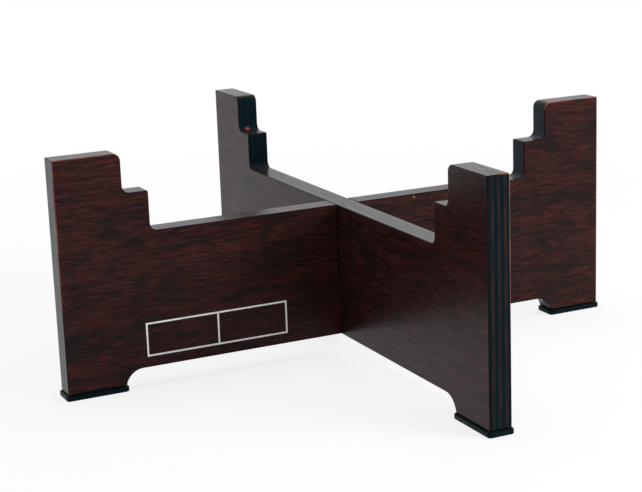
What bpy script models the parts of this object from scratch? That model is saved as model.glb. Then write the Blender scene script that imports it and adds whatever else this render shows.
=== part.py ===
"""Dundun stand: two stepped plywood boards halved over each other into a cross, on rubber feet.

The lower board runs along X with its slot open at the top. The upper board runs along Y with its
slot open at the bottom, and lifts straight up out of the lower one.
"""

import math

import bmesh
import bpy

# Boards, in metres. Heights are measured from the underside of the wooden feet.
BOARD_LENGTH = 0.5300
BOARD_HEIGHT = 0.2000
BOARD_THICKNESS = 0.0200
RAIL_HEIGHT = 0.1315
LEDGE_HEIGHT = 0.1660
LOWER_SEAT_WIDTH = 0.3680
UPPER_SEAT_WIDTH = 0.4130
ARCH_HEIGHT = 0.0128
ARCH_SPAN = 0.4266

# Radii of the board's outline, and of its long arrises
TOWER_CORNER_RADIUS = 0.0065
RISER_FILLET_RADIUS = 0.0065
LEDGE_CORNER_RADIUS = 0.0018
ARCH_FILLET_RADIUS = 0.0160
ARRIS_RADIUS = 0.0009

# Cross joint
SLOT_SIDE_CLEARANCE = 0.0003
SLOT_END_CLEARANCE = 0.0003

# Rubber feet
PAD_THICKNESS = 0.0047
PAD_OVERHANG = 0.0018
PAD_CORNER_RADIUS = 0.0030
PAD_EDGE_RADIUS = 0.0008
GLUE_GAP = 0.0003

# How finely the curves are drawn
ARC_SEGMENTS = 8
EASING_SEGMENTS = 2
SHARP_ANGLE = math.radians(30)

# Derived levels
FOOT_LEVEL = PAD_THICKNESS + GLUE_GAP
SLOT_MEETING_HEIGHT = (RAIL_HEIGHT + ARCH_HEIGHT) / 2
SLOT_WIDTH = BOARD_THICKNESS + 2 * SLOT_SIDE_CLEARANCE


def clear_scene():
    for obj in list(bpy.data.objects):
        bpy.data.objects.remove(obj, do_unlink=True)


def make_material(name, colour, roughness, coat):
    material = bpy.data.materials.new(name)
    material.use_nodes = True
    shader = material.node_tree.nodes["Principled BSDF"]
    shader.inputs["Base Color"].default_value = (*colour, 1.0)
    shader.inputs["Roughness"].default_value = roughness
    shader.inputs["Metallic"].default_value = 0.0
    shader.inputs["Coat Weight"].default_value = coat
    return material


def rounded_corner(before, corner, after, radius):
    """Points of the arc that replaces one corner of an outline, held within its two sides."""
    back = (before[0] - corner[0], before[1] - corner[1])
    ahead = (after[0] - corner[0], after[1] - corner[1])
    back_length = math.hypot(*back)
    ahead_length = math.hypot(*ahead)
    back = (back[0] / back_length, back[1] / back_length)
    ahead = (ahead[0] / ahead_length, ahead[1] / ahead_length)
    half_angle = math.acos(back[0] * ahead[0] + back[1] * ahead[1]) / 2
    setback = min(radius / math.tan(half_angle), 0.49 * back_length, 0.49 * ahead_length)
    radius = setback * math.tan(half_angle)
    middle = (back[0] + ahead[0], back[1] + ahead[1])
    to_centre = radius / math.sin(half_angle) / math.hypot(*middle)
    centre = (corner[0] + middle[0] * to_centre, corner[1] + middle[1] * to_centre)
    start = math.atan2(
        corner[1] + back[1] * setback - centre[1], corner[0] + back[0] * setback - centre[0]
    )
    end = math.atan2(
        corner[1] + ahead[1] * setback - centre[1], corner[0] + ahead[0] * setback - centre[0]
    )
    turn = (end - start + math.pi) % (2 * math.pi) - math.pi
    return [
        (
            centre[0] + radius * math.cos(start + turn * step / ARC_SEGMENTS),
            centre[1] + radius * math.sin(start + turn * step / ARC_SEGMENTS),
        )
        for step in range(ARC_SEGMENTS + 1)
    ]


def arch_end():
    """The hollow curve at one end of the arch, from its flat top down to the foot."""
    drop = min(ARCH_FILLET_RADIUS, ARCH_HEIGHT)
    sweep = math.acos(1 - drop / ARCH_FILLET_RADIUS)
    centre_x = ARCH_SPAN / 2 - ARCH_FILLET_RADIUS * math.sin(sweep)
    centre_z = ARCH_HEIGHT - ARCH_FILLET_RADIUS
    curve = [
        (
            centre_x + ARCH_FILLET_RADIUS * math.sin(sweep * step / ARC_SEGMENTS),
            centre_z + ARCH_FILLET_RADIUS * math.cos(sweep * step / ARC_SEGMENTS),
        )
        for step in range(ARC_SEGMENTS + 1)
    ]
    if ARCH_FILLET_RADIUS < ARCH_HEIGHT:
        curve.append((ARCH_SPAN / 2, 0.0))
    return curve


def half_outline():
    """The board's right half, from the arch's flat top round the foot and the tower to the rail."""
    end = BOARD_LENGTH / 2
    upper_riser = UPPER_SEAT_WIDTH / 2
    lower_riser = LOWER_SEAT_WIDTH / 2
    corners = [
        (end, BOARD_HEIGHT, 0.0),
        (upper_riser, BOARD_HEIGHT, TOWER_CORNER_RADIUS),
        (upper_riser, LEDGE_HEIGHT, RISER_FILLET_RADIUS),
        (lower_riser, LEDGE_HEIGHT, LEDGE_CORNER_RADIUS),
        (lower_riser, RAIL_HEIGHT, RISER_FILLET_RADIUS),
    ]
    points = arch_end()
    points.append((end, 0.0))
    sides = [(end, 0.0)] + [corner[:2] for corner in corners] + [(0.0, RAIL_HEIGHT)]
    for index, (x, z, radius) in enumerate(corners):
        if radius:
            points += rounded_corner(sides[index], (x, z), sides[index + 2], radius)
        else:
            points.append((x, z))
    return points


def extruded(name, outline, thickness, material):
    """A plate in the XZ plane, centred on it and thickness deep along Y."""
    shape = bmesh.new()
    face = shape.faces.new([shape.verts.new((x, -thickness / 2, z)) for x, z in outline])
    raised = bmesh.ops.extrude_face_region(shape, geom=[face])
    moved = [item for item in raised["geom"] if isinstance(item, bmesh.types.BMVert)]
    bmesh.ops.translate(shape, verts=moved, vec=(0.0, thickness, 0.0))
    bmesh.ops.recalc_face_normals(shape, faces=shape.faces)
    mesh = bpy.data.meshes.new(name)
    shape.to_mesh(mesh)
    shape.free()
    mesh.shade_smooth()
    mesh.set_sharp_from_angle(angle=SHARP_ANGLE)
    mesh.materials.append(material)
    obj = bpy.data.objects.new(name, mesh)
    bpy.context.collection.objects.link(obj)
    return obj


def ease_edges(obj, radius):
    bevel = obj.modifiers.new("eased_edges", "BEVEL")
    bevel.width = radius
    bevel.segments = EASING_SEGMENTS
    bevel.limit_method = "ANGLE"
    bevel.angle_limit = SHARP_ANGLE
    bevel.harden_normals = True
    return bevel


def slot_cutter(name, bottom, top):
    """A block as wide as the slot, standing through the middle of a board that lies in XZ."""
    outline = [
        (-SLOT_WIDTH / 2, bottom),
        (SLOT_WIDTH / 2, bottom),
        (SLOT_WIDTH / 2, top),
        (-SLOT_WIDTH / 2, top),
    ]
    cutter = extruded(name, outline, 2 * BOARD_THICKNESS, None)
    cutter.hide_render = True
    cutter.display_type = "WIRE"
    return cutter


def make_board(name, cutter, material):
    """One board in the XZ plane, cut through by its slot, with its arrises eased."""
    right = half_outline()
    left = [(-x, z) for x, z in reversed(right)]
    board = extruded(name, right + left, BOARD_THICKNESS, material)
    cut = board.modifiers.new("slot", "BOOLEAN")
    cut.operation = "DIFFERENCE"
    cut.solver = "EXACT"
    cut.object = cutter
    ease_edges(board, ARRIS_RADIUS)
    return board


def make_pad(name, side, material):
    """One rubber foot under the board's end at side (-1 or 1), a little proud of the wood."""
    inner = ARCH_SPAN / 2 - PAD_OVERHANG
    outer = BOARD_LENGTH / 2 + PAD_OVERHANG
    half_width = BOARD_THICKNESS / 2 + PAD_OVERHANG
    shape = bmesh.new()
    bmesh.ops.create_cube(shape, size=1.0)
    bmesh.ops.scale(shape, vec=(outer - inner, 2 * half_width, PAD_THICKNESS), verts=shape.verts)
    upright = [edge for edge in shape.edges if edge.verts[0].co.xy == edge.verts[1].co.xy]
    bmesh.ops.bevel(
        shape,
        geom=upright,
        offset=PAD_CORNER_RADIUS,
        segments=ARC_SEGMENTS // 2,
        profile=0.5,
        affect="EDGES",
    )
    bmesh.ops.translate(
        shape, verts=shape.verts, vec=(side * (inner + outer) / 2, 0.0, PAD_THICKNESS / 2)
    )
    mesh = bpy.data.meshes.new(name)
    shape.to_mesh(mesh)
    shape.free()
    mesh.shade_smooth()
    mesh.set_sharp_from_angle(angle=SHARP_ANGLE)
    mesh.materials.append(material)
    pad = bpy.data.objects.new(name, mesh)
    bpy.context.collection.objects.link(pad)
    ease_edges(pad, PAD_EDGE_RADIUS)
    return pad


def make_carrier(name, turn):
    """An empty on the stand's upright axis that carries one board, its slot cutter and its feet."""
    carrier = bpy.data.objects.new(name, None)
    carrier.rotation_euler = (0.0, 0.0, turn)
    bpy.context.collection.objects.link(carrier)
    return carrier


def build_frame(name, turn, slot_bottom, slot_top, sides, board_material, pad_material):
    """One board with a pad at each end, turned about the upright axis."""
    carrier = make_carrier(f"{name}_carrier", turn)
    cutter = slot_cutter(f"{name}_slot_cutter", slot_bottom, slot_top)
    board = make_board(f"{name}_board", cutter, board_material)
    for piece in (cutter, board):
        piece.location = (0.0, 0.0, FOOT_LEVEL)
        piece.parent = carrier
    for side, place in sides.items():
        make_pad(f"{name}_board_{place}_pad", side, pad_material).parent = carrier


def main():
    clear_scene()
    lower_stain = make_material("lower_board_stain", (0.050, 0.016, 0.011), 0.32, 0.5)
    upper_stain = make_material("upper_board_stain", (0.042, 0.013, 0.010), 0.32, 0.5)
    rubber = make_material("black_rubber", (0.010, 0.011, 0.012), 0.62, 0.0)
    build_frame(
        "lower",
        0.0,
        SLOT_MEETING_HEIGHT - SLOT_END_CLEARANCE / 2,
        BOARD_HEIGHT,
        {-1: "left", 1: "right"},
        lower_stain,
        rubber,
    )
    build_frame(
        "upper",
        math.pi / 2,
        -FOOT_LEVEL,
        SLOT_MEETING_HEIGHT + SLOT_END_CLEARANCE / 2,
        {-1: "front", 1: "back"},
        upper_stain,
        rubber,
    )


main()
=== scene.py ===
"""Dundun stand: two stained plywood boards halved over each other into a cross, on rubber feet."""

import math

import bmesh
import bpy
from mathutils import Matrix, Vector


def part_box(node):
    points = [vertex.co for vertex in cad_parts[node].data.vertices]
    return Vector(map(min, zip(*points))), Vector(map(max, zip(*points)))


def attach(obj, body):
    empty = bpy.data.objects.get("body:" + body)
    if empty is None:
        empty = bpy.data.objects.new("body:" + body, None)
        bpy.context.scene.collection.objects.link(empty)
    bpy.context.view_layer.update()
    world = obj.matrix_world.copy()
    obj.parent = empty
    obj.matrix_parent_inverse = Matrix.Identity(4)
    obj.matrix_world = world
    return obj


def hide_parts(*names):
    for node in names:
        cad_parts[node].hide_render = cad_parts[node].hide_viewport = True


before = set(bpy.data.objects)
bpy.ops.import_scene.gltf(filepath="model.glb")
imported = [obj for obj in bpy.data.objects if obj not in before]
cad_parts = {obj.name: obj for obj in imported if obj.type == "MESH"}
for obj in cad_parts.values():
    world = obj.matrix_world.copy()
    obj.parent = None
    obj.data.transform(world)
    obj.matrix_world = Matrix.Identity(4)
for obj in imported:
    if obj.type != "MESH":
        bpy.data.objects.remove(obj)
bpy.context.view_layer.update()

# Board outline, in metres, heights from the underside of the wood
BOARD_LOW, BOARD_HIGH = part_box("lower_board")
BOARD_LENGTH = BOARD_HIGH.x - BOARD_LOW.x
BOARD_HEIGHT = BOARD_HIGH.z - BOARD_LOW.z
BOARD_THICKNESS = BOARD_HIGH.y - BOARD_LOW.y
FOOT_LEVEL = BOARD_LOW.z
RAIL_HEIGHT = 0.1315
LEDGE_HEIGHT = 0.1660
LOWER_SEAT_WIDTH = 0.3680
UPPER_SEAT_WIDTH = 0.4130
ARCH_HEIGHT = 0.0128
ARCH_SPAN = 0.4266
TOWER_CORNER_RADIUS = 0.0065
RISER_FILLET_RADIUS = 0.0065
LEDGE_CORNER_RADIUS = 0.0018
ARCH_FILLET_RADIUS = 0.0160
ARRIS_RADIUS = 0.0009
SLOT_CLEARANCE = 0.0003

# Rubber feet
PAD_CORNER_RADIUS = 0.0030
PAD_EDGE_RADIUS = 0.0010

# How finely the curves are drawn
ARC_SEGMENTS = 14
ARRIS_SEGMENTS = 3
PAD_CORNER_SEGMENTS = 6
PAD_EDGE_SEGMENTS = 4
SHARP_ANGLE = math.radians(35)

# A face whose normal has more than this along Y is one of a board's two broad faces
BROAD_FACE_NORMAL_Y = 0.9

# Plywood
PLY_COUNT = 7
PLY_PITCH = BOARD_THICKNESS / PLY_COUNT
PLY_WAVER = 0.00022

# Printed border of two cells on the lower board's front face
BORDER_LEFT = -0.1935
BORDER_DIVIDER = -0.1275
BORDER_RIGHT = -0.0625
BORDER_BOTTOM = 0.0273
BORDER_TOP = 0.0570
BORDER_LINE = 0.0015
INK_DEPTH = 0.00006

# Small marks: where each lies in its board's own frame, and how far it reaches
PIN_KNOT = (0.0672, -BOARD_THICKNESS / 2, 0.1285)
PIN_KNOT_RADIUS = 0.0016
RUBBED_FILLET = (0.2045, 0.0018, 0.1679)
RUBBED_FILLET_RADIUS = 0.0029

# Share of a mark's radius within which it is at its full strength
SPOT_CORE = 0.35

# Photograph's viewpoint, from a fit to its edges
PICTURE_WIDTH = 642
CAMERA_PLACE = Vector((-0.6344, -1.3014, 0.4544))
CAMERA_YAW = math.radians(64.81)
CAMERA_PITCH = math.radians(13.90)
CAMERA_ROLL = math.radians(2.10)
FOCAL_PIXELS = 1668.2
SENSOR_WIDTH = 36.0

# Studio: the floor glows a little less near the stand, so that a faint shadow stays
FLOOR_REACH = 30.0
SHADOW_RADIUS = 0.35
CLEAR_RADIUS = 1.10
GLOW_NEAR_STAND = 0.80
WORLD_LIGHT = 0.50

# Gloss of lacquer and rubber
LOW_IOR = 1.27

# Material slots of a board's mesh
VENEER, CUT_EDGE, ARRIS = 0, 1, 2

# Sockets of a colour Mix node, by number, because their names repeat
MIX_FACTOR, MIX_FIRST, MIX_SECOND, MIX_RESULT = 0, 6, 7, 2


def rounded_corner(before, corner, after, radius):
    """Points of the arc that replaces one corner of an outline."""
    corner = Vector(corner)
    back = (Vector(before) - corner).normalized()
    ahead = (Vector(after) - corner).normalized()
    half_angle = back.angle(ahead) / 2
    setback = radius / math.tan(half_angle)
    centre = corner + (back + ahead).normalized() * radius / math.sin(half_angle)
    start = corner + back * setback - centre
    end = corner + ahead * setback - centre
    start_angle = math.atan2(start.y, start.x)
    turn = math.atan2(end.y, end.x) - start_angle
    turn = (turn + math.pi) % (2 * math.pi) - math.pi
    return [
        (
            centre.x + radius * math.cos(start_angle + turn * step / ARC_SEGMENTS),
            centre.y + radius * math.sin(start_angle + turn * step / ARC_SEGMENTS),
        )
        for step in range(ARC_SEGMENTS + 1)
    ]


def arch_end():
    """The hollow curve at one end of the arch, from its flat top down to the foot."""
    sweep = math.acos(1 - min(1.0, ARCH_HEIGHT / ARCH_FILLET_RADIUS))
    centre_x = ARCH_SPAN / 2 - ARCH_FILLET_RADIUS * math.sin(sweep)
    centre_z = ARCH_HEIGHT - ARCH_FILLET_RADIUS
    return [
        (
            centre_x + ARCH_FILLET_RADIUS * math.sin(sweep * step / ARC_SEGMENTS),
            centre_z + ARCH_FILLET_RADIUS * math.cos(sweep * step / ARC_SEGMENTS),
        )
        for step in range(ARC_SEGMENTS + 1)
    ]


def half_outline():
    """The board's right half, from the arch round the foot and the tower to the rail."""
    end = BOARD_LENGTH / 2
    upper_riser = UPPER_SEAT_WIDTH / 2
    lower_riser = LOWER_SEAT_WIDTH / 2
    corners = [
        (end, BOARD_HEIGHT, 0.0),
        (upper_riser, BOARD_HEIGHT, TOWER_CORNER_RADIUS),
        (upper_riser, LEDGE_HEIGHT, RISER_FILLET_RADIUS),
        (lower_riser, LEDGE_HEIGHT, LEDGE_CORNER_RADIUS),
        (lower_riser, RAIL_HEIGHT, RISER_FILLET_RADIUS),
    ]
    points = arch_end()
    points.append((end, 0.0))
    sides = [(end, 0.0)] + [corner[:2] for corner in corners] + [(0.0, RAIL_HEIGHT)]
    for index, (x, z, radius) in enumerate(corners):
        if radius:
            points += rounded_corner(sides[index], (x, z), sides[index + 2], radius)
        else:
            points.append((x, z))
    return points


def board_outline(slot_from_above):
    """The whole outline, with the half-lap slot cut down from the rail or up from the arch."""
    half_slot = BOARD_THICKNESS / 2 + SLOT_CLEARANCE
    meeting = (RAIL_HEIGHT + ARCH_HEIGHT) / 2
    right = half_outline()
    left = [(-x, z) for x, z in reversed(right)]
    if slot_from_above:
        floor = meeting - SLOT_CLEARANCE / 2
        slot = [
            (half_slot, RAIL_HEIGHT),
            (half_slot, floor),
            (-half_slot, floor),
            (-half_slot, RAIL_HEIGHT),
        ]
        return right + slot + left
    roof = meeting + SLOT_CLEARANCE / 2
    slot = [
        (-half_slot, ARCH_HEIGHT),
        (-half_slot, roof),
        (half_slot, roof),
        (half_slot, ARCH_HEIGHT),
    ]
    return right + left + slot


def finished(name, shape, sharp):
    """A scene object made of a bmesh shape, which is used up. Its hard edges are kept if sharp."""
    mesh = bpy.data.meshes.new(name)
    shape.to_mesh(mesh)
    shape.free()
    if sharp:
        mesh.set_sharp_from_angle(angle=SHARP_ANGLE)
    obj = bpy.data.objects.new(name, mesh)
    bpy.context.collection.objects.link(obj)
    return obj


def plate(name, outline, thickness):
    """A plate in the XZ plane: its two broad faces are veneer and its rim is cut edge."""
    shape = bmesh.new()
    face = shape.faces.new([shape.verts.new((x, -thickness / 2, z)) for x, z in outline])
    raised = bmesh.ops.extrude_face_region(shape, geom=[face])
    moved = [item for item in raised["geom"] if isinstance(item, bmesh.types.BMVert)]
    bmesh.ops.translate(shape, verts=moved, vec=(0.0, thickness, 0.0))
    bmesh.ops.recalc_face_normals(shape, faces=shape.faces)
    for side in shape.faces:
        is_broad = abs(side.normal.y) > BROAD_FACE_NORMAL_Y
        side.material_index = VENEER if is_broad else CUT_EDGE
        side.smooth = True
    return finished(name, shape, sharp=True)


def ease_edges(obj, name, width, segments):
    """Round every sharp edge of an object, and keep its flat faces flat."""
    bevel = obj.modifiers.new(name, "BEVEL")
    bevel.width = width
    bevel.segments = segments
    bevel.limit_method = "ANGLE"
    bevel.angle_limit = SHARP_ANGLE
    bevel.harden_normals = True
    return bevel


def make_board(name, node, body, slot_from_above, turn, materials):
    """One board on its feet, turned about the stand's upright axis."""
    board = plate(name, board_outline(slot_from_above), BOARD_THICKNESS)
    for material in materials:
        board.data.materials.append(material)
    ease_edges(board, "eased_arrises", ARRIS_RADIUS, ARRIS_SEGMENTS).material = ARRIS
    board.location = (0.0, 0.0, FOOT_LEVEL)
    board.rotation_euler = (0.0, 0.0, turn)
    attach(board, body)
    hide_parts(node)


def make_pad(name, node, body, material):
    """A rubber foot: a flat strip with round corners and soft edges."""
    low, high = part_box(node)
    shape = bmesh.new()
    bmesh.ops.create_cube(shape, size=1.0)
    bmesh.ops.scale(shape, vec=high - low, verts=shape.verts)
    upright = [edge for edge in shape.edges if edge.verts[0].co.xy == edge.verts[1].co.xy]
    bmesh.ops.bevel(
        shape,
        geom=upright,
        offset=PAD_CORNER_RADIUS,
        segments=PAD_CORNER_SEGMENTS,
        profile=0.5,
        affect="EDGES",
    )
    bmesh.ops.translate(shape, verts=shape.verts, vec=(low + high) / 2)
    for side in shape.faces:
        side.smooth = True
    pad = finished(name, shape, sharp=True)
    pad.data.materials.append(material)
    ease_edges(pad, "soft_edges", PAD_EDGE_RADIUS, PAD_EDGE_SEGMENTS)
    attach(pad, body)
    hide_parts(node)


def make_printed_border(material):
    """A plain printed border round two empty cells, low on the lower board's front face."""
    inner_bottom = BORDER_BOTTOM + BORDER_LINE
    inner_top = BORDER_TOP - BORDER_LINE
    half_line = BORDER_LINE / 2
    bars = [
        (BORDER_LEFT, BORDER_RIGHT, BORDER_BOTTOM, inner_bottom),
        (BORDER_LEFT, BORDER_RIGHT, inner_top, BORDER_TOP),
        (BORDER_LEFT, BORDER_LEFT + BORDER_LINE, inner_bottom, inner_top),
        (BORDER_RIGHT - BORDER_LINE, BORDER_RIGHT, inner_bottom, inner_top),
        (BORDER_DIVIDER - half_line, BORDER_DIVIDER + half_line, inner_bottom, inner_top),
    ]
    middle_y = -BOARD_THICKNESS / 2 - INK_DEPTH / 2
    shape = bmesh.new()
    for left, right, bottom, top in bars:
        block = bmesh.ops.create_cube(shape, size=1.0)["verts"]
        bmesh.ops.scale(shape, vec=(right - left, INK_DEPTH, top - bottom), verts=block)
        middle = ((left + right) / 2, middle_y, (bottom + top) / 2)
        bmesh.ops.translate(shape, vec=middle, verts=block)
    border = finished("printed_border", shape, sharp=False)
    border.data.materials.append(material)
    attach(border, "lower_frame")


def feed(tree, socket, value):
    """Give a socket a number, a colour or another node's output."""
    if isinstance(value, (int, float)):
        socket.default_value = value
    elif isinstance(value, tuple):
        socket.default_value = (*value, 1.0)
    else:
        tree.links.new(value, socket)


def remap(tree, value, low, high, to_low=0.0, to_high=1.0):
    """The value, with the range low to high stretched to to_low to to_high and held within it."""
    node = tree.nodes.new("ShaderNodeMapRange")
    node.inputs["From Min"].default_value = low
    node.inputs["From Max"].default_value = high
    node.inputs["To Min"].default_value = to_low
    node.inputs["To Max"].default_value = to_high
    tree.links.new(value, node.inputs["Value"])
    return node.outputs["Result"]


def combine(tree, operation, first, second):
    """A sum, product or other operation of two numbers or node outputs."""
    node = tree.nodes.new("ShaderNodeMath")
    node.operation = operation
    feed(tree, node.inputs[0], first)
    feed(tree, node.inputs[1], second)
    return node.outputs["Value"]


def scaled(tree, value, share):
    """The value times a number."""
    return combine(tree, "MULTIPLY", value, share)


def magnitude(tree, value):
    """The value without its sign."""
    return combine(tree, "ABSOLUTE", value, 0.0)


def mix_colour(tree, factor, first, second):
    """The first colour at factor 0, the second at factor 1."""
    node = tree.nodes.new("ShaderNodeMix")
    node.data_type = "RGBA"
    feed(tree, node.inputs[MIX_FACTOR], factor)
    feed(tree, node.inputs[MIX_FIRST], first)
    feed(tree, node.inputs[MIX_SECOND], second)
    return node.outputs[MIX_RESULT]


def object_place(tree):
    """Where a point lies in its object's own frame."""
    return tree.nodes.new("ShaderNodeTexCoord").outputs["Object"]


def object_normal(tree):
    """Which way a point faces in its object's own frame."""
    return tree.nodes.new("ShaderNodeTexCoord").outputs["Normal"]


def split_axes(tree, vector):
    """The X, Y and Z outputs of a vector."""
    node = tree.nodes.new("ShaderNodeSeparateXYZ")
    tree.links.new(vector, node.inputs["Vector"])
    return node.outputs


def stretched_noise(tree, source, stretch, scale, detail, roughness, distortion=0.0):
    """Noise of the given scale on coordinates multiplied by stretch."""
    mapping = tree.nodes.new("ShaderNodeMapping")
    mapping.inputs["Scale"].default_value = stretch
    noise = tree.nodes.new("ShaderNodeTexNoise")
    noise.inputs["Scale"].default_value = scale
    noise.inputs["Detail"].default_value = detail
    noise.inputs["Roughness"].default_value = roughness
    noise.inputs["Distortion"].default_value = distortion
    tree.links.new(source, mapping.inputs["Vector"])
    tree.links.new(mapping.outputs["Vector"], noise.inputs["Vector"])
    return noise.outputs["Fac"]


def even_noise(tree, scale, detail, roughness):
    """Noise that isn't stretched, in the object's own frame."""
    return stretched_noise(tree, object_place(tree), (1.0, 1.0, 1.0), scale, detail, roughness)


def new_group(name, inputs, outputs):
    """An empty node group, its input node and its output node. Every output is a number."""
    group = bpy.data.node_groups.new(name, "ShaderNodeTree")
    for label, kind in inputs:
        group.interface.new_socket(label, in_out="INPUT", socket_type=kind)
    for label in outputs:
        group.interface.new_socket(label, in_out="OUTPUT", socket_type="NodeSocketFloat")
    return group, group.nodes.new("NodeGroupInput"), group.nodes.new("NodeGroupOutput")


def add_group(tree, group, **values):
    """Place a node group in a material with its own values, and return its outputs."""
    node = tree.nodes.new("ShaderNodeGroup")
    node.node_tree = group
    for label, value in values.items():
        node.inputs[label].default_value = value
    return node.outputs


def grain_group():
    """Stained veneer grain, running along the board's own X."""
    group, given, result = new_group(
        "lengthwise_grain",
        [("Seed", "NodeSocketVector")],
        ["Streaks", "Pores", "Glints", "Clouds", "Height"],
    )
    shift = group.nodes.new("ShaderNodeVectorMath")
    shift.operation = "ADD"
    group.links.new(object_place(group), shift.inputs[0])
    group.links.new(given.outputs["Seed"], shift.inputs[1])
    here = shift.outputs["Vector"]
    fine = stretched_noise(group, here, (0.08, 0.5, 1.0), 460.0, 3.0, 0.60)
    broad = stretched_noise(group, here, (0.12, 0.4, 1.0), 110.0, 4.0, 0.62, distortion=0.4)
    clouds = stretched_noise(group, here, (0.60, 0.4, 1.0), 34.0, 4.0, 0.62, distortion=0.6)
    dashes = stretched_noise(group, here, (0.09, 0.5, 1.0), 860.0, 2.0, 0.5)
    glints = stretched_noise(group, here, (0.10, 0.5, 1.0), 620.0, 2.0, 0.5)
    streaks = combine(group, "ADD", scaled(group, fine, 0.5), scaled(group, broad, 0.5))
    pores = remap(group, dashes, 0.52, 0.64)
    height = combine(group, "SUBTRACT", scaled(group, streaks, 0.5), pores)
    group.links.new(remap(group, streaks, 0.40, 0.60), result.inputs["Streaks"])
    group.links.new(pores, result.inputs["Pores"])
    group.links.new(remap(group, glints, 0.54, 0.68), result.inputs["Glints"])
    group.links.new(remap(group, clouds, 0.50, 0.66), result.inputs["Clouds"])
    group.links.new(height, result.inputs["Height"])
    return group


def ply_group():
    """Bands of the glued plies across a board's thickness, its own Y."""
    group, given, result = new_group(
        "ply_bands",
        [("Pitch", "NodeSocketFloat")],
        ["Crossply", "Glue", "Fibre", "Tone"],
    )
    here = object_place(group)
    waver = remap(group, even_noise(group, 16.0, 2.0, 0.5), 0.3, 0.7, -PLY_WAVER, PLY_WAVER)
    across = combine(group, "ADD", split_axes(group, here)["Y"], waver)
    from_face = combine(group, "ADD", across, BOARD_THICKNESS / 2)
    plies = combine(group, "DIVIDE", from_face, given.outputs["Pitch"])
    alternate = combine(group, "PINGPONG", combine(group, "SUBTRACT", plies, 0.5), 1.0)
    to_glue_line = combine(group, "PINGPONG", plies, 0.5)
    fibre = stretched_noise(group, here, (0.05, 1.0, 0.05), 900.0, 3.0, 0.6)
    tone = stretched_noise(group, here, (0.5, 4.0, 0.5), 60.0, 3.0, 0.6)
    group.links.new(remap(group, alternate, 0.38, 0.62), result.inputs["Crossply"])
    group.links.new(remap(group, to_glue_line, 0.0, 0.07, 1.0, 0.0), result.inputs["Glue"])
    group.links.new(fibre, result.inputs["Fibre"])
    group.links.new(remap(group, tone, 0.40, 0.64), result.inputs["Tone"])
    return group


def spot_group():
    """A round mark: 1 round its place on the board, fading to 0 at its radius."""
    group, given, result = new_group(
        "round_spot",
        [("Place", "NodeSocketVector"), ("Radius", "NodeSocketFloat")],
        ["Mask"],
    )
    gap = group.nodes.new("ShaderNodeVectorMath")
    gap.operation = "DISTANCE"
    group.links.new(object_place(group), gap.inputs[0])
    group.links.new(given.outputs["Place"], gap.inputs[1])
    radii_away = combine(group, "DIVIDE", gap.outputs["Value"], given.outputs["Radius"])
    mask = remap(group, radii_away, SPOT_CORE, 1.0, 1.0, 0.0)
    group.links.new(mask, result.inputs["Mask"])
    return group


def new_material(name):
    """A material, its node tree and its Principled BSDF."""
    material = bpy.data.materials.new(name)
    material.use_nodes = True
    return material, material.node_tree, material.node_tree.nodes["Principled BSDF"]


def add_bump(tree, shader, height, strength):
    """Relief of a fifth of a millimetre at most."""
    bump = tree.nodes.new("ShaderNodeBump")
    bump.inputs["Strength"].default_value = strength
    bump.inputs["Distance"].default_value = 0.0002
    tree.links.new(height, bump.inputs["Height"])
    tree.links.new(bump.outputs["Normal"], shader.inputs["Normal"])


def set_gloss(shader, tint):
    """Hardly any mirror seen straight on, in the tint given, and a full one at a glancing angle."""
    shader.inputs["IOR"].default_value = LOW_IOR
    shader.inputs["Specular Tint"].default_value = (*tint, 1.0)


def veneer_material(grain, spot, name, seed, knot):
    """Dark stained veneer under satin lacquer, with a pin knot where knot says, if anywhere."""
    dark = (0.0120, 0.0062, 0.0062)
    brown = (0.0440, 0.0118, 0.0098)
    red = (0.0780, 0.0180, 0.0120)
    cloud = (0.0060, 0.0064, 0.0074)
    pore = (0.0040, 0.0030, 0.0035)
    orange = (0.300, 0.095, 0.030)
    material, tree, shader = new_material(name)
    figure = add_group(tree, grain, Seed=seed)
    colour = mix_colour(tree, figure["Streaks"], dark, brown)
    colour = mix_colour(tree, scaled(tree, figure["Glints"], 0.60), colour, red)
    colour = mix_colour(tree, scaled(tree, figure["Clouds"], 0.62), colour, cloud)
    colour = mix_colour(tree, scaled(tree, figure["Pores"], 0.62), colour, pore)
    if knot:
        mark = add_group(tree, spot, Place=knot, Radius=PIN_KNOT_RADIUS)
        colour = mix_colour(tree, mark["Mask"], colour, orange)
    roughness = remap(tree, figure["Streaks"], 0.0, 1.0, 0.32, 0.26)
    tree.links.new(colour, shader.inputs["Base Color"])
    tree.links.new(roughness, shader.inputs["Roughness"])
    set_gloss(shader, (0.38, 0.40, 0.41))
    add_bump(tree, shader, figure["Height"], 0.05)
    return material


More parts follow.
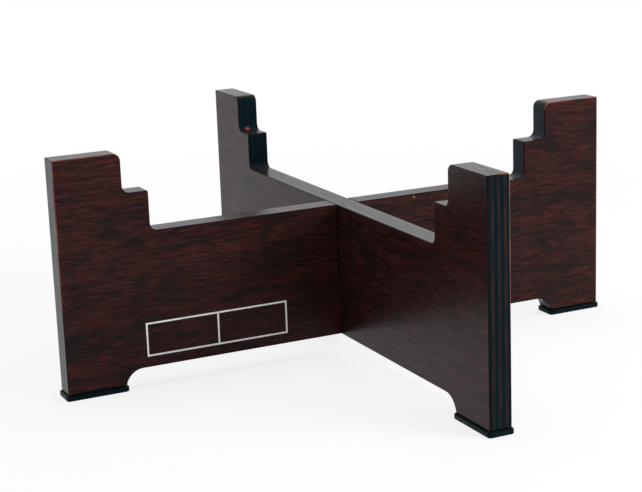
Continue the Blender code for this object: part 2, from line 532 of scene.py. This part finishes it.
def cut_edge_material(plies, spot, name, rub):
    """Cut edges, dark with soaked-in stain. The browner crossplies show on the outer ends and tops.

    A red rubbed spot lies where rub says, if anywhere.
    """
    dark_brown = (0.0110, 0.0080, 0.0090)
    light_brown = (0.0340, 0.0130, 0.0100)
    soaked_teal = (0.0006, 0.0070, 0.0110)
    soaked_top = (0.0130, 0.0090, 0.0090)
    fibre_dark = (0.0030, 0.0050, 0.0060)
    glue_dark = (0.001, 0.002, 0.003)
    rubbed_red = (0.240, 0.040, 0.044)
    material, tree, shader = new_material(name)
    bands = add_group(tree, plies, Pitch=PLY_PITCH)
    place = split_axes(tree, object_place(tree))
    top = remap(tree, split_axes(tree, object_normal(tree))["Z"], 0.65, 0.95)
    outer_end = remap(tree, magnitude(tree, place["X"]), 0.235, 0.262, 0.22, 1.0)
    shown = combine(tree, "MAXIMUM", outer_end, top)
    crossply = combine(tree, "MULTIPLY", bands["Crossply"], shown)
    brown = mix_colour(tree, bands["Tone"], dark_brown, light_brown)
    soaked = mix_colour(tree, top, soaked_teal, soaked_top)
    colour = mix_colour(tree, crossply, soaked, brown)
    fibre = remap(tree, bands["Fibre"], 0.42, 0.72, 0.0, 0.50)
    colour = mix_colour(tree, fibre, colour, fibre_dark)
    colour = mix_colour(tree, scaled(tree, bands["Glue"], 0.6), colour, glue_dark)
    if rub:
        mark = add_group(tree, spot, Place=rub, Radius=RUBBED_FILLET_RADIUS)
        colour = mix_colour(tree, mark["Mask"], colour, rubbed_red)
    satin = remap(tree, bands["Fibre"], 0.35, 0.70, 0.13, 0.33)
    duller_middle = remap(tree, magnitude(tree, place["Y"]), 0.0045, 0.0085, 0.05, 0.0)
    roughness = combine(tree, "ADD", satin, duller_middle)
    height = combine(tree, "SUBTRACT", scaled(tree, bands["Fibre"], 0.4), bands["Glue"])
    tree.links.new(colour, shader.inputs["Base Color"])
    tree.links.new(roughness, shader.inputs["Roughness"])
    set_gloss(shader, (0.10, 0.28, 0.34))
    add_bump(tree, shader, height, 0.06)
    return material


def arris_material(grain):
    """The eased arrises: dark stain, with red wood that is partly rubbed-through wear and partly a
    painted highlight, on the one side that faces the lamps at the ends and tops.
    """
    stain = (0.0045, 0.0035, 0.0040)
    # This red is both the colour of worn red wood and a painted highlight on the arrises.
    red_wood_and_highlight = (0.2300, 0.0700, 0.0480)
    material, tree, shader = new_material("rubbed_and_highlit_arris")
    figure = add_group(tree, grain)
    place = split_axes(tree, object_place(tree))
    # Painted highlight as well as wear: the red goes on the side of each board that faces the
    # lamps, at the ends and the tower tops, and fades lower down.
    worn_and_lit_side = remap(tree, place["Y"], -0.006, 0.002, 1.0, 0.05)
    outer_end = remap(tree, magnitude(tree, place["X"]), 0.252, 0.262, 0.06, 1.0)
    less_low_down = remap(tree, place["Z"], 0.040, 0.130, 0.12, 1.0)
    outer = combine(tree, "MULTIPLY", outer_end, less_low_down)
    top = remap(tree, place["Z"], 0.192, 0.198)
    patches = remap(tree, even_noise(tree, 26.0, 4.0, 0.6), 0.38, 0.58, 0.15, 1.0)
    streaks = remap(tree, figure["Streaks"], 0.0, 1.0, 0.6, 1.0)
    worn_and_highlit = combine(tree, "MULTIPLY", worn_and_lit_side, combine(tree, "MAXIMUM", outer, top))
    worn_and_highlit = combine(tree, "MULTIPLY", worn_and_highlit, patches)
    worn_and_highlit = combine(tree, "MULTIPLY", worn_and_highlit, streaks)
    roughness = remap(tree, figure["Streaks"], 0.0, 1.0, 0.34, 0.24)
    tree.links.new(mix_colour(tree, worn_and_highlit, stain, red_wood_and_highlight), shader.inputs["Base Color"])
    tree.links.new(roughness, shader.inputs["Roughness"])
    set_gloss(shader, (0.30, 0.22, 0.20))
    return material


def rubber_material():
    """Black rubber with a little dust and a fine speckle."""
    black = (0.0012, 0.0050, 0.0060)
    dusty = (0.006, 0.010, 0.011)
    material, tree, shader = new_material("black_rubber")
    dust = even_noise(tree, 60.0, 4.0, 0.6)
    colour = mix_colour(tree, remap(tree, dust, 0.45, 0.75), black, dusty)
    tree.links.new(colour, shader.inputs["Base Color"])
    tree.links.new(remap(tree, dust, 0.3, 0.7, 0.42, 0.62), shader.inputs["Roughness"])
    set_gloss(shader, (0.10, 0.28, 0.32))
    add_bump(tree, shader, even_noise(tree, 1500.0, 2.0, 0.5), 0.2)
    return material


def ink_material():
    """White printing ink, slightly worn."""
    worn = (0.74, 0.72, 0.70)
    white = (0.94, 0.94, 0.93)
    material, tree, shader = new_material("white_ink")
    wear = stretched_noise(tree, object_place(tree), (0.4, 1.0, 1.0), 240.0, 4.0, 0.6)
    colour = mix_colour(tree, remap(tree, wear, 0.30, 0.50), worn, white)
    tree.links.new(colour, shader.inputs["Base Color"])
    shader.inputs["Roughness"].default_value = 0.45
    return material


def make_camera():
    """The photograph's own viewpoint."""
    forward = Vector((
        math.cos(CAMERA_YAW) * math.cos(CAMERA_PITCH),
        math.sin(CAMERA_YAW) * math.cos(CAMERA_PITCH),
        -math.sin(CAMERA_PITCH),
    ))
    right = Vector((math.sin(CAMERA_YAW), -math.cos(CAMERA_YAW), 0.0))
    up = right.cross(forward)
    cosine = math.cos(CAMERA_ROLL)
    sine = math.sin(CAMERA_ROLL)
    rolled_right = right * cosine - up * sine
    rolled_up = up * cosine + right * sine
    data = bpy.data.cameras.new("photo_camera")
    data.sensor_width = SENSOR_WIDTH
    data.lens = FOCAL_PIXELS / PICTURE_WIDTH * SENSOR_WIDTH
    data.clip_start = 0.05
    data.clip_end = 100.0
    camera = bpy.data.objects.new("photo_camera", data)
    bpy.context.collection.objects.link(camera)
    turn = Matrix((rolled_right, rolled_up, -forward)).transposed()
    camera.matrix_world = Matrix.Translation(CAMERA_PLACE) @ turn.to_4x4()
    bpy.context.scene.camera = camera


def seen_directly(tree):
    """1 for rays from the camera, a mirror reflection or glass, 0 for the light on the object."""
    path = tree.nodes.new("ShaderNodeLightPath")
    seen = combine(tree, "MAXIMUM", path.outputs["Is Camera Ray"], path.outputs["Is Glossy Ray"])
    return combine(tree, "MAXIMUM", seen, path.outputs["Is Transmission Ray"])


def make_floor():
    """A white floor that glows where it is seen, and takes a faint shadow near the stand."""
    material, tree, shader = new_material("white_floor")
    shader.inputs["Base Color"].default_value = (0.86, 0.86, 0.86, 1.0)
    shader.inputs["Roughness"].default_value = 0.9
    shader.inputs["Specular IOR Level"].default_value = 0.0
    glow = tree.nodes.new("ShaderNodeEmission")
    glow.inputs["Strength"].default_value = 1.0
    from_centre = tree.nodes.new("ShaderNodeVectorMath")
    from_centre.operation = "LENGTH"
    tree.links.new(object_place(tree), from_centre.inputs[0])
    glow_share = remap(
        tree, from_centre.outputs["Value"], SHADOW_RADIUS, CLEAR_RADIUS, GLOW_NEAR_STAND, 1.0
    )
    mix = tree.nodes.new("ShaderNodeMixShader")
    factor, dull_side, glowing_side = mix.inputs
    tree.links.new(combine(tree, "MULTIPLY", seen_directly(tree), glow_share), factor)
    tree.links.new(shader.outputs[0], dull_side)
    tree.links.new(glow.outputs[0], glowing_side)
    tree.links.new(mix.outputs[0], tree.nodes["Material Output"].inputs["Surface"])
    mesh = bpy.data.meshes.new("studio_floor")
    corners = [
        (-FLOOR_REACH, -FLOOR_REACH, 0.0),
        (FLOOR_REACH, -FLOOR_REACH, 0.0),
        (FLOOR_REACH, FLOOR_REACH, 0.0),
        (-FLOOR_REACH, FLOOR_REACH, 0.0),
    ]
    mesh.from_pydata(corners, [], [(0, 1, 2, 3)])
    mesh.materials.append(material)
    floor = bpy.data.objects.new("studio_floor", mesh)
    bpy.context.collection.objects.link(floor)


def make_world():
    """A world that is pure white where it is seen, and lights the object less strongly."""
    world = bpy.data.worlds.new("studio")
    bpy.context.scene.world = world
    world.use_nodes = True
    tree = world.node_tree
    background = tree.nodes["Background"]
    background.inputs["Color"].default_value = (1.0, 1.0, 1.0, 1.0)
    strength = remap(tree, seen_directly(tree), 0.0, 1.0, WORLD_LIGHT, 1.0)
    tree.links.new(strength, background.inputs["Strength"])


def make_softbox(name, place, target, size, power):
    """A square lamp that isn't mirrored in the lacquer."""
    data = bpy.data.lights.new(name, "AREA")
    data.shape = "SQUARE"
    data.size = size
    data.energy = power
    light = bpy.data.objects.new(name, data)
    bpy.context.collection.objects.link(light)
    light.location = place
    light.visible_glossy = False
    light.rotation_euler = (Vector(target) - Vector(place)).to_track_quat("-Z", "Y").to_euler()


def main():
    bpy.context.scene.view_settings.view_transform = "Standard"
    make_camera()
    make_floor()
    make_world()
    make_softbox(
        "front_softbox", place=(1.5, -1.6, 0.9), target=(0.0, 0.0, 0.08), size=1.0, power=44.0
    )
    make_softbox(
        "overhead_softbox", place=(0.1, 0.3, 2.2), target=(0.0, 0.0, 0.05), size=1.6, power=20.0
    )
    grain = grain_group()
    plies = ply_group()
    spot = spot_group()
    arris = arris_material(grain)
    lower_materials = (
        veneer_material(grain, spot, "lower_board_veneer", seed=(0.0, 0.0, 0.0), knot=PIN_KNOT),
        cut_edge_material(plies, spot, "lower_board_edge", rub=None),
        arris,
    )
    make_board(
        "lower_board_wood",
        "lower_board",
        "lower_frame",
        slot_from_above=True,
        turn=0.0,
        materials=lower_materials,
    )
    upper_materials = (
        veneer_material(grain, spot, "upper_board_veneer", seed=(1.7, 0.9, 0.4), knot=None),
        cut_edge_material(plies, spot, "upper_board_edge", rub=RUBBED_FILLET),
        arris,
    )
    make_board(
        "upper_board_wood",
        "upper_board",
        "upper_frame",
        slot_from_above=False,
        turn=math.pi / 2,
        materials=upper_materials,
    )
    rubber = rubber_material()
    for node, body in (
        ("lower_board_left_pad", "lower_frame"),
        ("lower_board_right_pad", "lower_frame"),
        ("upper_board_front_pad", "upper_frame"),
        ("upper_board_back_pad", "upper_frame"),
    ):
        make_pad(f"{node}_rubber", node, body, rubber)
    make_printed_border(ink_material())


main()
